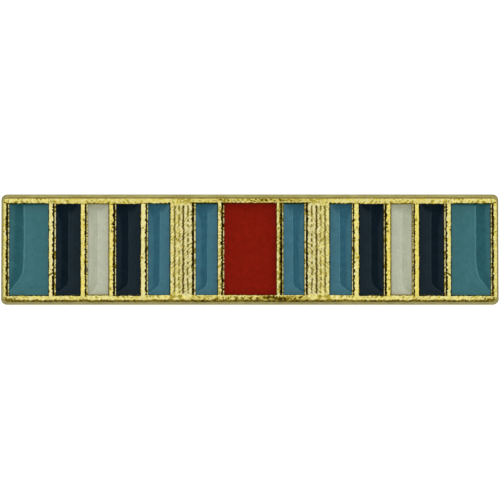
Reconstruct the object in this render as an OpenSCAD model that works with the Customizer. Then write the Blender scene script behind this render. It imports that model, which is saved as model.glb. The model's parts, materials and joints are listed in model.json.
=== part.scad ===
// Ribbon-bar lapel pin: a struck gilt bar with recessed cells, thirteen enamel
// fills and one tack on its back. All sizes are in millimetres.
//
// The pieces are drawn lying face up, with the bar's back on z = 0. They are
// then leaned back, so that the bar stands on its long lower edge and on the
// tack, the way the pin comes to rest on a table.

/* [Stripes] */
// Width of the red middle cell, between the faces of the metal
red_w = 1.95; // [1.6:0.01:2.2]
// Width of each of the four blue cells
blue_w = 0.9; // [0.7:0.01:1.1]
// Width of each of the four navy cells
navy_w = 0.975; // [0.75:0.005:1.2]
// Width of each of the two white cells
white_w = 0.86; // [0.7:0.01:1.1]
// Width of the teal cell at each end
teal_w = 1.49; // [1.2:0.01:1.8]
// Height of every cell
cell_h = 3.24; // [2.8:0.02:3.8]
// Width of the rib between two cells
rib_w = 0.135; // [0.1:0.005:0.2]
// Width of the rib on each side of the red cell
red_rib_w = 0.1; // [0.08:0.005:0.2]
// Width of each reeded gilt stripe
reed_w = 0.77; // [0.6:0.01:0.9]
// Number of grooves in a reeded stripe
reed_grooves = 4; // [3:1:5]

/* [Bar] */
// Thickness of the bar, from its back to its face
bar_t = 1.2; // [1:0.05:1.6]
// Width of the rim's face along the two long sides
side_rim_w = 0.15; // [0.1:0.01:0.3]
// Width of the rim's face at the two short ends
end_rim_w = 0.14; // [0.1:0.01:0.3]
// Width of the low flange outside the rim, along the two long sides
side_flange_w = 0.175; // [0.1:0.005:0.25]
// Width of the low flange outside the rim, at the two short ends
end_flange_w = 0.125; // [0.1:0.005:0.25]
// Depth of the flange below the rim's face
flange_drop = 0.36; // [0.2:0.02:0.5]
// Radius of the bar's outer corners
corner_r = 0.2; // [0.18:0.01:0.35]

/* [Enamel] */
// Depth of the enamel's edge below the rim's face
enamel_drop = 0.2; // [0.1:0.02:0.3]
// Thickness of the enamel at its edge
enamel_t = 0.36; // [0.25:0.01:0.45]
// Dip of the enamel's middle, as a share of its width
enamel_dip = 0.05; // [0.02:0.005:0.08]

/* [Tack] */
// Length of the tack behind the bar, to its point
tack_l = 8; // [6:0.5:10]
// Diameter of the tack's shank
shank_d = 1.15; // [0.9:0.05:1.3]
// Diameter of the tack's round foot, soldered to the bar
foot_d = 2.6; // [2:0.1:3]
// Thickness of the foot
foot_t = 0.35; // [0.25:0.05:0.5]

/* [Hidden] */
$fn = 64;

// How far the struck walls lean over their height: a cell's long walls, its
// short walls, and the rim's outer wall
wall_draft = 0.045;
end_draft = 0.02;
rim_draft = 0.03;
// Radius of the rim's outer corners
rim_corner_r = 0.1;
// Strip of metal beside the long edges of each enamel fill
ledge_w = 0.022;
// Gap all round an enamel fill, and the flat strip left on its top edge
fill_gap = 0.01;
fill_lip = 0.01;
// Chamfer on the flange's outer edge
flange_chamfer = 0.06;
// How far a cutter runs past the face that it cuts
over = 0.1;

// Radius of the grooves in a reeded stripe, and the plain metal past each end
groove_r = 0.045;
groove_margin = 0.1;

// The tack's foot, the V-shaped neck that a clutch grips, and the point behind it
foot_chamfer = 0.1;
solder_w = 0.15;
neck_from_point = 1.7;
neck_l = 0.45;
neck_depth = 0.12;
barb_r = 0.52;
point_r = 0.1;

gilt = [0.86, 0.76, 0.42];
brass = [0.78, 0.68, 0.36];
red = [0.5, 0.1, 0.06];
blue = [0.2, 0.39, 0.46];
navy = [0.08, 0.13, 0.17];
white = [0.69, 0.71, 0.61];
teal = [0.22, 0.41, 0.43];

// One row for each cell, from the middle of the bar out to its end:
// name, colour, width, width of the metal between it and the cell before it
CELLS = [
  ["red_middle", red, red_w, 0],
  ["blue_inner", blue, blue_w, red_rib_w],
  ["blue_outer", blue, blue_w, reed_w],
  ["navy_inner", navy, navy_w, rib_w],
  ["white", white, white_w, rib_w],
  ["navy_outer", navy, navy_w, rib_w],
  ["teal_end", teal, teal_w, rib_w],
];
NAME = 0;
COLOUR = 1;
WIDTH = 2;
METAL = 3;
MIDDLE = 0;
LAST = len(CELLS) - 1;
SIDES = [["left", -1], ["right", 1]];

// Distance from the bar's middle to the outer edge of cell i, and to its centre
function edge(i) = i == MIDDLE
  ? CELLS[i][WIDTH] / 2
  : edge(i - 1) + CELLS[i][METAL] + CELLS[i][WIDTH];
function centre(i) = i == MIDDLE ? 0 : edge(i) - CELLS[i][WIDTH] / 2;

// The reeded stripe lies between the two blue cells
reed_x = edge(1) + reed_w / 2;

bar_w = 2 * (edge(LAST) + end_rim_w + end_flange_w);
bar_h = cell_h + 2 * (side_rim_w + side_flange_w);
flange_z = bar_t - flange_drop;
enamel_z = bar_t - enamel_drop;
floor_z = enamel_z - enamel_t;
tray_h = cell_h - 2 * end_draft;

// Half outline of the tack: radius, distance behind the bar
shank_r = shank_d / 2;
foot_r = foot_d / 2;
neck_r = shank_r - neck_depth;
neck_z = tack_l - neck_from_point;
TACK = [
  [foot_r, 0],
  [foot_r, foot_t - foot_chamfer],
  [foot_r - foot_chamfer, foot_t],
  [shank_r + solder_w, foot_t],
  [shank_r, foot_t + solder_w],
  [shank_r, neck_z - neck_l / 2],
  [neck_r, neck_z],
  [barb_r, neck_z + neck_l / 2],
  [point_r, tack_l],
];
RADIUS = 0;
BEHIND = 1;

// Lean at which the tack comes down on the table behind the bar's lower edge
lean = min([
  for (p = TACK)
    if (p[BEHIND] > 0)
      atan((bar_h / 2 - p[RADIUS]) / p[BEHIND])
]);
lift = bar_h / 2 * cos(lean);
front_y = -(bar_h / 2 - side_flange_w) * sin(lean) - bar_t * cos(lean);
back_y = point_r * sin(lean) + tack_l * cos(lean);

module leaned_back() {
  translate([0, -(front_y + back_y) / 2, lift])
    rotate([90 - lean, 0, 0])
      children();
}

// Block with rounded corners that narrows by draft on every side as it rises
module struck_block(w, h, r, draft, t) {
  for (x = [-1, 1], y = [-1, 1])
    translate([x * (w / 2 - r), y * (h / 2 - r), 0])
      cylinder(h = t, r1 = r, r2 = r - draft);
  wall_section(w, draft, t, h - 2 * r);
  rotate([0, 0, 90])
    wall_section(h, draft, t, w - 2 * r);
}

// Trapezium w wide at its foot and t high, drawn out to a length along Y
module wall_section(w, draft, t, length) {
  translate([0, length / 2, 0])
    rotate([90, 0, 0])
      linear_extrude(length)
        polygon([
          [-w / 2, 0],
          [w / 2, 0],
          [w / 2 - draft, t],
          [-w / 2 + draft, t],
        ]);
}

// Space of one cell: walls that open out to the face, over a straight tray
module cell_space(w) {
  rise = enamel_drop + over;
  stretch = rise / enamel_drop;
  foot_w = w - 2 * wall_draft;
  translate([0, 0, enamel_z])
    intersection() {
      wall_section(foot_w, -wall_draft * stretch, rise, 2 * cell_h);
      rotate([0, 0, 90])
        wall_section(tray_h, -end_draft * stretch, rise, 2 * w);
    }
  tray_w = foot_w - 2 * ledge_w;
  translate([-tray_w / 2, -tray_h / 2, floor_z])
    cube([tray_w, tray_h, enamel_t + over / 2]);
}

// Round grooves cut along a reeded stripe
module reeding() {
  pitch = reed_w / (reed_grooves + 1);
  groove_l = cell_h - 2 * groove_margin;
  for (k = [1:reed_grooves])
    translate([k * pitch - reed_w / 2, groove_l / 2, bar_t])
      rotate([90, 0, 0])
        cylinder(h = groove_l, r = groove_r);
}

module gilt_bar() {
  color(gilt)
    difference() {
      union() {
        struck_block(bar_w, bar_h, corner_r, 0, flange_z - flange_chamfer);
        translate([0, 0, flange_z - flange_chamfer])
          struck_block(bar_w, bar_h, corner_r, flange_chamfer, flange_chamfer);
        translate([0, 0, flange_z])
          struck_block(
            bar_w - 2 * (end_flange_w - rim_draft),
            bar_h - 2 * (side_flange_w - rim_draft),
            rim_corner_r,
            rim_draft,
            flange_drop
          );
      }
      cell_space(red_w);
      for (i = [1:LAST], side = SIDES)
        translate([side[1] * centre(i), 0, 0])
          cell_space(CELLS[i][WIDTH]);
      for (side = SIDES)
        translate([side[1] * reed_x, 0, 0])
          reeding();
    }
}

// One enamel fill: a slab in its tray, its top dished by a round-ended trough
module enamel_fill(i) {
  w = CELLS[i][WIDTH] - 2 * (wall_draft + ledge_w + fill_gap);
  h = tray_h - 2 * fill_gap;
  dish_w = w - 2 * fill_lip;
  dip = enamel_dip * w;
  dish_r = (dish_w * dish_w / 4 + dip * dip) / (2 * dip);
  run = h - 2 * fill_lip - dish_w;
  color(CELLS[i][COLOUR])
    difference() {
      translate([-w / 2, -h / 2, floor_z])
        cube([w, h, enamel_t]);
      translate([0, 0, enamel_z + dish_r - dip]) {
        rotate([90, 0, 0])
          cylinder(h = run, r = dish_r, center = true);
        for (y = [-1, 1])
          translate([0, y * run / 2, 0])
            sphere(r = dish_r);
      }
    }
}

// Nail-like tack: round foot with its solder, shank, clutch neck and point
module tack_post() {
  color(brass)
    rotate([180, 0, 0])
      rotate_extrude()
        polygon(concat([[0, 0]], TACK, [[0, tack_l]]));
}

leaned_back() gilt_bar();
leaned_back() tack_post();
leaned_back() enamel_fill(MIDDLE);
for (i = [1:LAST], side = SIDES)
  leaned_back()
      translate([side[1] * centre(i), 0, 0])
        enamel_fill(i);
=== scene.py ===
import json
from math import cos, pi, radians, sin, tan
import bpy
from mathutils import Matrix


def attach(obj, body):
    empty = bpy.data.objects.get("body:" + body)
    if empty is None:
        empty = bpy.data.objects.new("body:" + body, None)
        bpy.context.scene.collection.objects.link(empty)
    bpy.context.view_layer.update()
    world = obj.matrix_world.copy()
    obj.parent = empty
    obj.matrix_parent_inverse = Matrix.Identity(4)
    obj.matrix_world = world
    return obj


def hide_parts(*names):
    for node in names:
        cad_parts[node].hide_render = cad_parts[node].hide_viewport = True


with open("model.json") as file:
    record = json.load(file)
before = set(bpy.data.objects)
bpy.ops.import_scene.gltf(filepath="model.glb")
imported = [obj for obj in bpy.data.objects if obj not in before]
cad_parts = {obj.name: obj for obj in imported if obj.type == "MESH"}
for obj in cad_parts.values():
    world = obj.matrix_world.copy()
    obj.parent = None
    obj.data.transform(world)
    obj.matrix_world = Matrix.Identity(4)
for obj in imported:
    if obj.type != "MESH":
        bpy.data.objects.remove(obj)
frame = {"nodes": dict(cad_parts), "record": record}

from types import SimpleNamespace

import bpy
import numpy as np
from mathutils import Matrix, Vector

scene = bpy.context.scene
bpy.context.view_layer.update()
mm = 0.001
print("frame loaded:", len(frame["nodes"]), "nodes")


# The pin's own axes: along the bar, up its face and out of its face, in millimetres,
# with the middle of the bar's back as the origin
tackMount = next(m for m in frame["record"]["mounts"] if m["name"] == "tack")
outOfFace = -Vector(tackMount["axis"]).normalized()
alongBar = Vector((1, 0, 0))
upFace = outOfFace.cross(alongBar)
backPlane = min(v.co.dot(outOfFace) for v in frame["nodes"]["gilt_bar"].data.vertices)
tackFoot = Vector(tackMount["pos_m"])
tackFoot += outOfFace * (backPlane - tackFoot.dot(outOfFace))
pinAxes = Matrix((alongBar, upFace, outOfFace)).transposed()
toPin = (Matrix.Translation(tackFoot) @ pinAxes.to_4x4() @ Matrix.Scale(mm, 4)).inverted()
leanAngle = np.arcsin(outOfFace.z)


def localBox(node):
    # lowest and highest corner of a CAD node along the pin's own axes
    corners = np.array([toPin @ v.co for v in frame["nodes"][node].data.vertices])
    return corners.min(0), corners.max(0)


def toWorld(points):
    turned = np.asarray(points, float) @ np.array(pinAxes).T
    return turned * mm + np.array(tackFoot)


def smooth(low, high, value):
    t = np.clip((value - low) / (high - low), 0, 1)
    return t * t * (3 - 2 * t)


def latticeValue(u, v, seed):
    wave = np.sin(u * 127.1 + v * 311.7 + seed * 74.7) * 43758.5453
    return wave - np.floor(wave)


def grain(x, y, size, seed):
    # smooth random field from -1 to 1, with lumps of about the given size
    u, v = x / size + seed * 17.31, y / size + seed * 9.17
    u0, v0 = np.floor(u), np.floor(v)
    fu, fv = smooth(0, 1, u - u0), smooth(0, 1, v - v0)
    low = latticeValue(u0, v0, seed) * (1 - fu) + latticeValue(u0 + 1, v0, seed) * fu
    high = latticeValue(u0, v0 + 1, seed) * (1 - fu) + latticeValue(u0 + 1, v0 + 1, seed) * fu
    return 2 * (low * (1 - fv) + high * fv) - 1


def setInputs(tree, made, inputs):
    for name, value in inputs.items():
        if isinstance(value, bpy.types.NodeSocket):
            tree.links.new(value, made.inputs[name])
        else:
            made.inputs[name].default_value = value


def addNode(tree, kind, inputs=None, **settings):
    made = tree.nodes.new("ShaderNode" + kind)
    for name, value in settings.items():
        setattr(made, name, value)
    setInputs(tree, made, inputs or {})
    return made


def maths(tree, operation, *values):
    return addNode(tree, "Math", dict(enumerate(values)), operation=operation).outputs[0]


def newMaterial(name, kind="BsdfPrincipled"):
    material = bpy.data.materials.new(name)
    material.use_nodes = True
    tree = material.node_tree
    tree.nodes.clear()
    shader = addNode(tree, kind)
    addNode(tree, "OutputMaterial", {"Surface": shader.outputs[0]})
    return material, tree, shader


def bumped(tree, height, strength, depth):
    inputs = {"Strength": strength, "Distance": depth * mm, "Height": height}
    return addNode(tree, "Bump", inputs).outputs["Normal"]


def millimetres(tree, stretch=(1, 1, 1)):
    # object coordinates in millimetres, along the pin's own axes
    coords = addNode(tree, "TexCoord").outputs["Object"]
    turned = addNode(tree, "VectorRotate", {"Vector": coords, "Angle": leanAngle - pi / 2},
                     rotation_type="X_AXIS").outputs["Vector"]
    scaled = addNode(tree, "VectorMath", {0: turned, 1: [s / mm for s in stretch]},
                     operation="MULTIPLY")
    return scaled.outputs["Vector"]


def noiseAt(tree, vector, scale, detail, roughness):
    inputs = {"Vector": vector, "Scale": scale, "Detail": detail, "Roughness": roughness}
    return addNode(tree, "TexNoise", inputs).outputs["Fac"]


def remap(tree, value, low, high, newLow=0, newHigh=1):
    inputs = {"Value": value, "From Min": low, "From Max": high, "To Min": newLow, "To Max": newHigh}
    return addNode(tree, "MapRange", inputs).outputs["Result"]


def mixColours(tree, factor, first, second, blend="MIX"):
    # a mix node has its factor, first colour and second colour at these places when it mixes colours
    inputs = {0: factor, 6: first, 7: second}
    return addNode(tree, "Mix", inputs, data_type="RGBA", blend_type=blend).outputs[2]


def linear(r, g, b):
    # colour as seen on a screen, 0 to 255, to the renderer's own values
    return tuple((c / 255 / 12.92 if c <= 10 else ((c / 255 + 0.055) / 1.055) ** 2.4)
                 for c in (r, g, b)) + (1.0,)


def painted(tree, name):
    return addNode(tree, "Attribute", attribute_name=name).outputs["Fac"]


def newObject(name, mesh):
    made = bpy.data.objects.new(name, mesh)
    scene.collection.objects.link(made)
    return made


def makePiece(name, points, faces, material, node, paint=None, sharpAngle=50):
    # points that no face uses are left out
    used = sorted({int(v) for face in faces for v in face})
    newNumber = {old: new for new, old in enumerate(used)}
    mesh = bpy.data.meshes.new(name)
    mesh.from_pydata(toWorld(points)[used].tolist(), [], [[newNumber[v] for v in face] for face in faces])
    mesh.validate()
    for layer, values in (paint or {}).items():
        attribute = mesh.attributes.new(layer, "FLOAT", "POINT")
        attribute.data.foreach_set("value", np.asarray(values, np.float32)[used])
    mesh.shade_smooth()
    mesh.set_sharp_from_angle(angle=radians(sharpAngle))
    mesh.materials.append(material)
    piece = newObject(name, mesh)
    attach(piece, "root")
    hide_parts(node)
    return piece


def gridFaces(number):
    return np.stack([number[:-1, :-1], number[:-1, 1:], number[1:, 1:], number[1:, :-1]], -1)


def outline(number):
    # the outermost points of a grid, once round
    return np.concatenate([number[0, :-1], number[:-1, -1], number[-1, :0:-1], number[:0:-1, 0]])


def joinLoops(above, below, faces):
    for k in range(len(above)):
        n = (k + 1) % len(above)
        faces.append([int(above[k]), int(below[k]), int(below[n]), int(above[n])])


def closeLoop(loop, middle, faces):
    # flat cap over a loop of points: a fan from its middle
    for k in range(len(loop)):
        faces.append([int(loop[k]), int(loop[(k + 1) % len(loop)]), middle])


# The struck bar. Sizes are in millimetres.
bar = {
    "flangeZ": 0.84,  # top of the low flange
    "flangeCrown": 0.008,
    "ledgeZ": 1.0,  # ledge beside the enamel
    "trayZ": 0.64,  # floor under the enamel
    "endRim": 8.63,  # middle of the bar to the rim's outer edge, along the bar and up the bar
    "sideRim": 1.77,
    "sideRimInner": 1.621,
    "lowerRimExtra": 0.009,  # how much wider the lower rim is
    "rimDraft": 0.03,
    # the rim's rounded top edge: distance in from the edge, depth below the face
    "rimTop": ((-0.012, 0.05), (0.0, 0.018), (0.02, 0.0)),
    "edgeRound": 0.06,  # rounding of the flange's outer edge, and at the ends
    "endRound": 0.025,
    "backRound": 0.05,
    "sideLevels": (0.45, 0.12),
    # radius of the outer corners and of the rim's, and how far in the mesh is drawn with them
    "cornerRound": (0.2, 1.0),
    "rimRound": (0.15, 0.1),
    # the enamel's CAD edge to the top edge of the metal, for the cells from the left end to the middle
    "wideGaps": (0.120, 0.117, 0.101, 0.109, 0.091, 0.136, 0.111),
    "steepGaps": (0.054, 0.058, 0.063, 0.058, 0.050, 0.042, 0.050),
    # width of the ledge, and how far the enamel creeps over it
    "ledges": (0.053, 0.071, 0.069, 0.042, 0.049, 0.067, 0.056),
    "spreads": (0.035, 0.022, 0.012, 0.015, 0.005, 0.006, 0.002),
    "innerSpread": 0.016,
    # the wall right of the red cell's right rib
    "redWall": {"gap": 0.104, "ledge": 0.046, "spread": -0.022},
    "ledgeEdge": 0.014,  # dark line of painted shade at the foot of the right walls
    "footGap": 0.008,  # bare metal at the foot of every cell
    # how far each cell's upper edge lies above the common line, and its lower edge below it
    "topRises": (0.0, -0.026, -0.006, -0.026, 0.004, 0.022, 0.018),
    "footDrops": (0.012, 0.01, 0.0, 0.01, -0.018, -0.018, -0.012),
    "shadeBreaks": (0.25, -0.55, 0.1, 0.35, 0.05, 0.3, 0.3),  # how much the painted shade on their walls is broken up
    # tint of the metal between each cell and the next: below 0 paler, above 0 a deeper yellow
    "tints": (-0.35, 0.2, 0.3, -0.4, 0.0, -0.35, -0.3, 0.0, 0.0, 0.5, 0.5, 0.0),
    # painted shade of the plain walls: wide, steep, below the enamel, the lower rim's and its edge's share,
    # and those at the foot and the top of the cells
    "wideShade": 1.0,
    "steepShade": 0.1,
    "trayShade": 0.8,
    "rimShade": 0.6,
    "edgeShare": 0.6,
    "endShade": 0.3,
    "seamShade": 0.2,
    "trayGap": 0.004,
    "lineGap": 0.004,  # least distance between two mesh lines, and their spacing
    "cellColumn": 0.034,
    "reedColumn": 0.024,
    "row": 0.022,
    "seamX": 1.17,  # right of here the struck marks repeat those of the left side
    # how far the edges beside the cells wander, and those of the walls painted with shade besides
    "sway": 0.0096,
    "rag": 0.034,
    # the same above and below the cells, and for the outer edge of the lower rim
    "rise": 0.0168,
    "lowerRag": 0.017,
    "wallShare": 0.7,  # how much the walls move with their top edges
    "hammer": 0.010,  # depth of the hammered dents, and their level and fine strokes as shares of it
    "hammerLevel": 0.7,
    "fineShare": 0.35,
    "strokeDepth": 0.009,
    "pitDepth": 0.016,
    "nubHeight": 0.2,
    "nubDrop": 0.01,  # how far the nubs stay below the face
    "flangeRipple": 0.004,
    # middle of the bar to the cells' upper and lower edges, the upper rim, the ends of the ragged rim and
    # of the marks on the rims, the darker ledges, and the ledges beside the white cells
    "cellEnd": 1.59,
    "upperRim": 1.6,
    "ragEnd": 8.6,
    "marksEnd": 8.55,
    "endLedges": 6.2,
    "whiteX": 5.9,
}

# Random fields on the metal. Each layer has the size of its lumps and its seed, and as far as they differ
# from 1, 1, 1 and 0 its weight, its squeeze along and up the bar, and its lean.
fields = {
    "sway": [(0.12, 1, 0.6, 0.6), (0.05, 2, 0.5, 0.6)],
    "rise": [(0.1, 3, 0.5, 1, 0.6), (0.045, 4, 0.7, 1, 0.6)],
    "jags": [(0.06, 24, 0.7, 0.3), (0.035, 25, 0.6, 0.3)],
    "lowerRag": [(0.1, 16, 0.5, 1, 0), (0.04, 17, 1.2, 1, 0)],
    "lumps": [(0.13, 5, 0.4), (0.07, 6, 0.5), (0.042, 7, 0.5)],
    "redSpecks": [(0.03, 28, 0.4)],
    "blots": [(0.15, 12, 0.8, 0.5), (0.055, 13, 0.8, 0.8)],
    "flange": [(0.05, 14, 1, 0.25)],
    "rope": [(0.2, 61, 2.5)],
    "reedSpecks": [(0.045, 64)],
}
# Fields that turn into marks: none at the first level and full at the second, then the layers
masks = {
    "pits": [(0.45, 0.8), (0.06, 10)],
    "pittedPlaces": [(-0.2, 0.5), (0.3, 11)],
    "chips": [(-0.15, 0.15), (0.09, 18, 0.6, 1, 2), (0.045, 19, 1, 1, 1, 1)],
    "teeth": [(-0.5, 0.1), (0.06, 22, 1, 1, 0.5, 0.5), (0.03, 23, 0.6)],
    "ledgeSpecks": [(0.0, 0.5), (0.06, 15, 0.7, 0.5), (0.036, 21, 0.8, 0.5)],
    "ropeGaps": [(-0.2, 0.3), (0.08, 62)],
    "reedDents": [(0.2, 0.8), (0.06, 63)],
    "wallPits": [(0.0, 0.5), (0.055, 71)],
    "smudge": [(-0.5, 0.0), (0.06, 72)],
    "ribSideShade": [(-0.6, 0.0), (0.09, 74)],
    "corner": [(-0.15, 0.15), (0.055, 75)],
}
# Strokes that slant across the metal: thinness, length, size and seed
strokes = {
    "broad": (0.45, 1.8, 0.07, 9),
    "fine": (0.6, 1.6, 0.04, 20),
    "dashes": (0.5, 1.5, 0.05, 26),
    "specks": (0.7, 1.4, 0.04, 27),
}

# Where marks fade, in millimetres: none at the first number and full at the second. With four numbers they
# fade in and out again.
bands = {
    # up the bar, from its middle
    "cellSides": (1.6, 1.5),
    "cellEdges": (1.71, 1.66),
    "longRims": (1.6, 1.64),
    "darkRims": (1.64, 1.67, 1.765, 1.775),
    "innerHalf": (1.74, 1.68),
    "upperLip": (1.655, 1.62),
    "lowerRim": (-1.81, -1.795, -1.765, -1.72),
    "lowerEdge": (-1.845, -1.825, -1.773, -1.75),
    "flangeFoot": (-1.86, -1.92),
    "ribLength": (1.68, 1.6),
    "redRibLength": (1.64, 1.55),
    "ribSideShadeLength": (1.64, 1.6),
    "grooveLength": (1.605, 1.505),
    "reedLength": (1.65, 1.55),
    "reedEnds": (1.55, 1.62),
    # along the bar, from its middle
    "endRims": (8.5, 8.53),
    "upperMiddle": (7.4, 6.4),
    "overRed": (1.35, 1.1),
    "overBlue": (1.1, 1.35, 1.8, 2.05),
    "rightOfRed": (0.2, 0.5, 1.75, 2.05),
    "clearOfRed": (1.0, 1.4),
    "redWall": (1.3, 1.2),
    "ribSideShade": (1.005, 1.03, 1.1, 1.12),
    # along the bar, from the middle of a rib, a stripe or a pair of ledges, and from a wall painted with
    # shade
    "rib": (0.2, 0.15),
    "redRib": (0.17, 0.13),
    "reedInner": (-0.15, 0.1),
    "reedWidth": (0.41, 0.38),
    "besideWhite": (0.2, 0.15),
    "shadedWall": (0.045, 0.0),
    # out of the face, from the face, the ledge or the flange
    "top": (-0.08, -0.01),
    "wallTop": (0.01, -0.12),
    "wallFoot": (-0.01, 0.05),
    "ledgeHeight": (0.06, 0.02),
    "flangeTop": (-0.03, 0.0),
}

# How dark each mark is painted; pits, cuts, lip and the lower edge are painted shade, and walls is how much
# of the walls' painted shade goes where it is broken. Of a pair, the first number is there all over and the
# second in its specks.
shades = {
    "pits": 0.5,
    "cuts": 0.45,
    "upperMiddle": 0.06,
    "lowerEdge": (0.15, 0.75),
    "overRed": (0.1, 0.7),
    "overBlue": 0.6,  # as a share of the one over the red cell
    "rightOfRed": (0.25, 0.65),
    "lip": 0.65,
    "walls": 0.92,
    "ledges": 0.48,
    "endLedges": 0.1,  # added to it
    "redLedge": 0.4,  # added to it
    "whiteLedge": 0.22,
    "nubs": 0.6,  # how pale the painted glints on the nubs and the painted highlight on the foot of the flange are
    "flangeFoot": 0.5,
}

barLow, barHigh = localBox("gilt_bar")
face = barHigh[2]
enamelNodes = sorted((n for n in frame["nodes"] if n not in ("gilt_bar", "tack_post")),
                     key=lambda n: localBox(n)[0][0])
redIndex = enamelNodes.index("red_middle")
fromEnd = [min(i, len(enamelNodes) - 1 - i) for i in range(len(enamelNodes))]


def cellWalls(i):
    # the metal left and right of a cell: a wide wall painted with shade and with a ledge, or a steep one
    k = fromEnd[i]
    wide = {"gap": bar["wideGaps"][k], "ledge": bar["ledges"][k], "spread": bar["spreads"][k]}
    steep = {"gap": bar["steepGaps"][k], "ledge": 0.0, "spread": bar["innerSpread"]}
    if i == redIndex + 1:
        return bar["redWall"], wide
    return (wide, steep) if i <= redIndex else (steep, wide)


walls, enamelBoxes = {}, {}
for i, node in enumerate(enamelNodes):
    # the enamel creeps over the ledge, and a little up the steep wall
    walls[node] = cellWalls(i)
    low, high = localBox(node)
    low[0] -= walls[node][0]["spread"]
    high[0] += walls[node][1]["spread"]
    enamelBoxes[node] = (low, high)


def layer(x, y, size, seed, weight=1, along=1, up=1, lean=0):
    return weight * grain(x * along + y * lean, y * up, size, seed)


def layered(layers, x, y):
    return sum(layer(x, y, *values) for values in layers)


def field(name, x, y):
    return layered(fields[name], x, y)


def mask(name, x, y):
    levels, *layers = masks[name]
    return smooth(*levels, layered(layers, x, y))


def stroke(name, x, y):
    thin, long, size, seed = strokes[name]
    return grain(0.7 * (x + y) / thin, 0.7 * (y - x) / long, size, seed)


def band(name, value):
    edges = bands[name]
    fade = smooth(edges[0], edges[1], value)
    return fade if len(edges) == 2 else fade * smooth(edges[3], edges[2], value)


def addRun(track, end, steps=1, inner=None, outer=None, dark=0.0, flange=0.0, ledge=0.0, floor=0.0,
           ease=False):
    # adds mesh lines up to end; heights run evenly, or eased, from those of the last line
    first = {key: track[key][-1] for key in ("at", "inner", "outer")}
    last = {"inner": first["inner"] if inner is None else inner,
            "outer": first["outer"] if outer is None else outer}
    rising = last["inner"] > first["inner"]
    for k in range(1, steps + 1):
        t = k / steps
        eased = smooth(0, 1, t) if ease else t
        track["at"].append(first["at"] + (end - first["at"]) * t)
        for key in last:
            track[key].append(first[key] + (last[key] - first[key]) * eased)
        # the wall's shade ends at its top edge
        fromTop = 1 - t if rising else t
        track["dark"].append(dark * smooth(-0.1, 0.2, fromTop) if ease else dark)
        track["flange"].append(flange)
        track["ledge"].append(ledge)
        track["floor"].append(floor if k < steps else 0.0)


def outerEdge(edge, rimEdge, r, dark=0.0, dull=0.5):
    # from the bar's outer edge over the flange, rounded to r, and up the rim's outer wall
    track = {"at": [edge], "inner": [face], "outer": [bar["flangeZ"] - r], "dark": [0.0], "flange": [1.0],
             "ledge": [0.0], "floor": [0.0]}
    for turn in (30, 60, 90):
        a = radians(turn)
        addRun(track, edge + r * (1 - cos(a)), outer=bar["flangeZ"] - r * (1 - sin(a)), flange=1)
    foot = rimEdge - bar["rimDraft"]
    addRun(track, (edge + r + foot) / 2, 2, outer=bar["flangeZ"] + bar["flangeCrown"], flange=1)
    addRun(track, foot, 2, outer=bar["flangeZ"], flange=1)
    wall, shoulder, top = bar["rimTop"]
    addRun(track, rimEdge + wall[0], 3, outer=face - wall[1], dark=dark, flange=dull)
    addRun(track, rimEdge + shoulder[0], outer=face - shoulder[1], dark=dark * bar["edgeShare"])
    addRun(track, rimEdge + top[0], outer=face - top[1])
    return track


def closeTrack(track, tail):
    # the lines of the other outer edge, seen from its own side, end the track
    for key, values in tail.items():
        sign = -1 if key == "at" else 1
        track[key] += [sign * value for value in values[-2::-1]]
    return {key: np.array(values) for key, values in track.items()}


def columnTrack():
    # mesh lines along the bar, from its left end to its right end
    track = outerEdge(barLow[0], -bar["endRim"], bar["endRound"], dull=0.0)
    gap, ledgeZ, wide, steep = bar["trayGap"], bar["ledgeZ"], bar["wideShade"], bar["steepShade"]
    for node in enamelNodes:
        leftWall, rightWall = walls[node]
        left, right = enamelBoxes[node][0][0], enamelBoxes[node][1][0]
        topEdge = left - (leftWall["gap"] - leftWall["spread"])
        span = topEdge - track["at"][-1]
        addRun(track, topEdge, max(4, round(span / bar["reedColumn"])))
        if leftWall["ledge"]:
            addRun(track, left - leftWall["ledge"], 4, inner=ledgeZ, dark=wide, ease=True)
            addRun(track, left - gap, 2, ledge=1)
        else:
            addRun(track, left - gap, 3, inner=ledgeZ, dark=steep, ease=True)
        addRun(track, left - gap / 2, inner=bar["trayZ"], dark=bar["trayShade"])
        addRun(track, right + gap / 2, round((right - left) / bar["cellColumn"]), floor=1)
        addRun(track, right + gap, inner=ledgeZ, dark=bar["trayShade"])
        topEdge = right + (rightWall["gap"] - rightWall["spread"])
        if rightWall["ledge"]:
            addRun(track, right + rightWall["ledge"] - bar["ledgeEdge"], 2, ledge=1)
            addRun(track, right + rightWall["ledge"], dark=wide)
            addRun(track, topEdge, 4, inner=face, dark=wide, ease=True)
        else:
            addRun(track, topEdge, 3, inner=face, dark=steep, ease=True)
    addRun(track, bar["endRim"] - bar["lineGap"], 5)
    return closeTrack(track, outerEdge(barLow[0], -bar["endRim"], bar["endRound"], dull=0.0))


def rowTrack():
    # mesh lines up the bar, from its lower edge to its upper edge
    cellLow, cellHigh = enamelBoxes["red_middle"]
    lowerRim = -bar["sideRim"] - bar["lowerRimExtra"]
    track = outerEdge(barLow[1], lowerRim, bar["edgeRound"], dark=bar["rimShade"])
    foot = cellLow[1] - bar["trayGap"] - bar["footGap"]
    addRun(track, -bar["sideRimInner"], 7)
    addRun(track, foot, 2, inner=bar["ledgeZ"], dark=bar["endShade"])
    addRun(track, foot + bar["lineGap"], inner=bar["trayZ"], dark=bar["trayShade"])
    count = round((cellHigh[1] - cellLow[1]) / bar["row"])
    addRun(track, cellHigh[1] + bar["trayGap"] / 2, count, floor=1)
    addRun(track, cellHigh[1] + bar["trayGap"], inner=bar["ledgeZ"], dark=bar["seamShade"])
    addRun(track, bar["sideRimInner"], 3, inner=face, dark=bar["endShade"], ease=True)
    addRun(track, bar["sideRim"] - bar["lineGap"], 7)
    return closeTrack(track, outerEdge(barLow[1], -bar["sideRim"], bar["edgeRound"]))


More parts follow.
